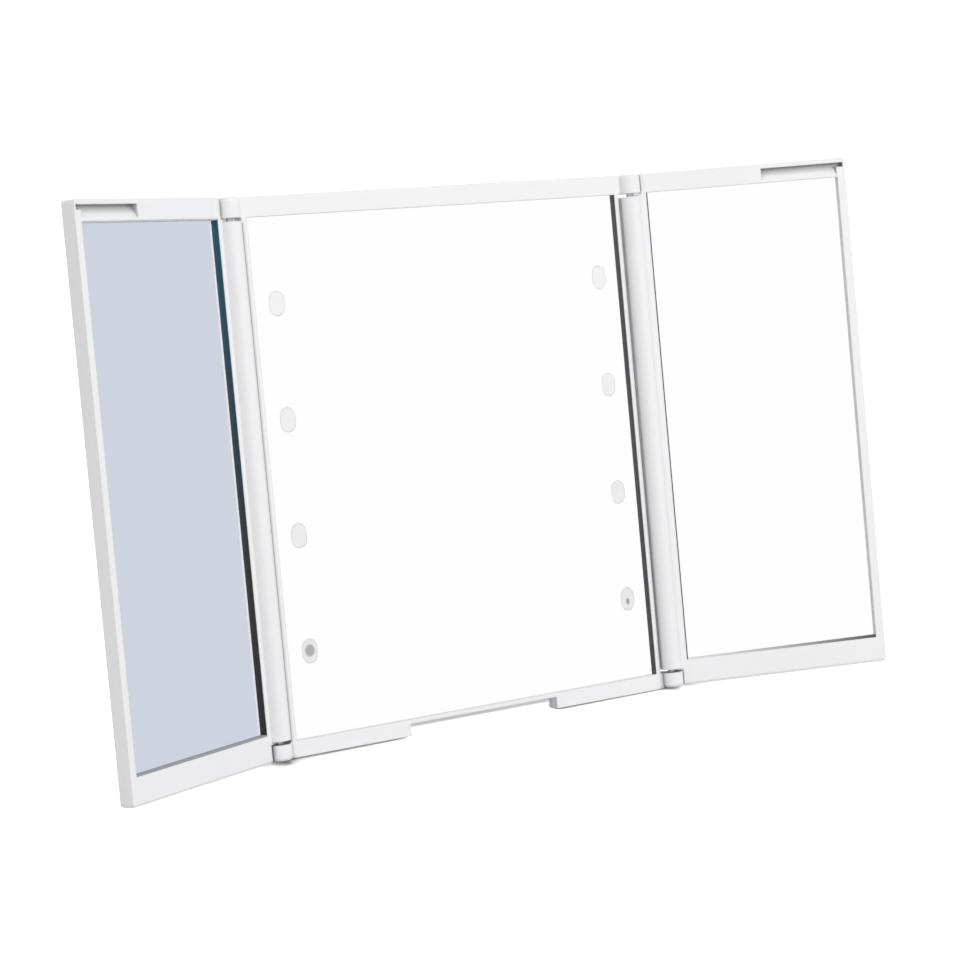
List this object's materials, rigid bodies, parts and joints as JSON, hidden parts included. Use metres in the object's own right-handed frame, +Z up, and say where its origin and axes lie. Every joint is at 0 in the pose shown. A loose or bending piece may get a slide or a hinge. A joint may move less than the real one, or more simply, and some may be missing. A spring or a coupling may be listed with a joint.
{
  "type": "trifold vanity mirror",
  "caption": "Folding tabletop vanity mirror: a lit centre panel on a rear stand leg, with two hinged mirror wings that close over it.",
  "frame": {"origin": "on the table, under the middle of the whole mirror as it stands open", "axes": "+X to the right as its user sees it, +Y to the rear, +Z up"},
  "size_m": [0.327, 0.084, 0.1941],
  "materials": {
    "white_plastic": "smooth moulded plastic with a soft sheen",
    "mirror_glass": "silvered mirror",
    "tape": "thin adhesive foam",
    "magnet": "nickel-plated magnet",
    "steel": "plated steel",
    "copper_wire": "red insulation",
    "circuit_board": "green solder mask",
    "frosted_lens": "frosted white diffuser",
    "diode": "phosphor under clear resin",
    "switch_body": "dark moulded plastic",
    "contact_metal": "plated spring metal",
    "foot_rubber": "soft grey rubber"
  },
  "bodies": {
    "centre": {"centre_frame": "white_plastic", "centre_mirror": "mirror_glass", "centre_tape": "tape", "led_lenses": "frosted_lens", "leds": "diode", "led_strip_left": "circuit_board", "led_strip_right": "circuit_board", "main_board": "circuit_board", "power_switch": "switch_body", "supply_wires": "copper_wire", "left_led_wires": "copper_wire", "right_led_wires": "copper_wire", "back_housing": "white_plastic", "housing_screws": "steel", "battery_contacts": "contact_metal", "coin_cells": "steel", "stand_pin": "steel", "centre_magnets": "magnet", "left_hinge_pins": "steel", "right_hinge_pins": "steel"},
    "left_wing": {"left_wing_frame": "white_plastic", "left_wing_mirror": "mirror_glass", "left_wing_tape": "tape", "left_wing_back": "white_plastic", "left_wing_magnet": "magnet"},
    "right_wing": {"right_wing_frame": "white_plastic", "right_wing_mirror": "mirror_glass", "right_wing_tape": "tape", "right_wing_back": "white_plastic", "right_wing_magnet": "magnet"},
    "stand": {"stand_leg": "white_plastic", "leg_foot": "foot_rubber"},
    "button": {"power_button": "white_plastic"},
    "door": {"battery_door": "white_plastic"}
  },
  "joints": [
    {"name": "left_fold", "type": "hinge", "parent": "centre", "child": "left_wing", "pos_m": [-0.08578, 0.01114, 0.09421], "axis": [0, 0.1736, 0.9848], "range_deg": [-26.5, 153.5]},
    {"name": "right_fold", "type": "hinge", "parent": "centre", "child": "right_wing", "pos_m": [0.08342, 0.01114, 0.09421], "axis": [0, -0.1736, -0.9848], "range_deg": [-22, 158]},
    {"name": "stand_fold", "type": "hinge", "parent": "centre", "child": "stand", "pos_m": [-0.00118, 0.02118, 0.10767], "axis": [1, 0, 0], "range_deg": [-20.28, 0]},
    {"name": "button_press", "type": "slide", "parent": "centre", "child": "button", "axis": [0, -0.9848, 0.1736], "range_m": [0, 0.0006], "stiffness_N_per_m": 1000, "springref_m": -0.0005},
    {"name": "door_slide", "type": "slide", "parent": "centre", "child": "door", "axis": [0, 0.1736, 0.9848], "range_m": [0, 0.008]}
  ]
}
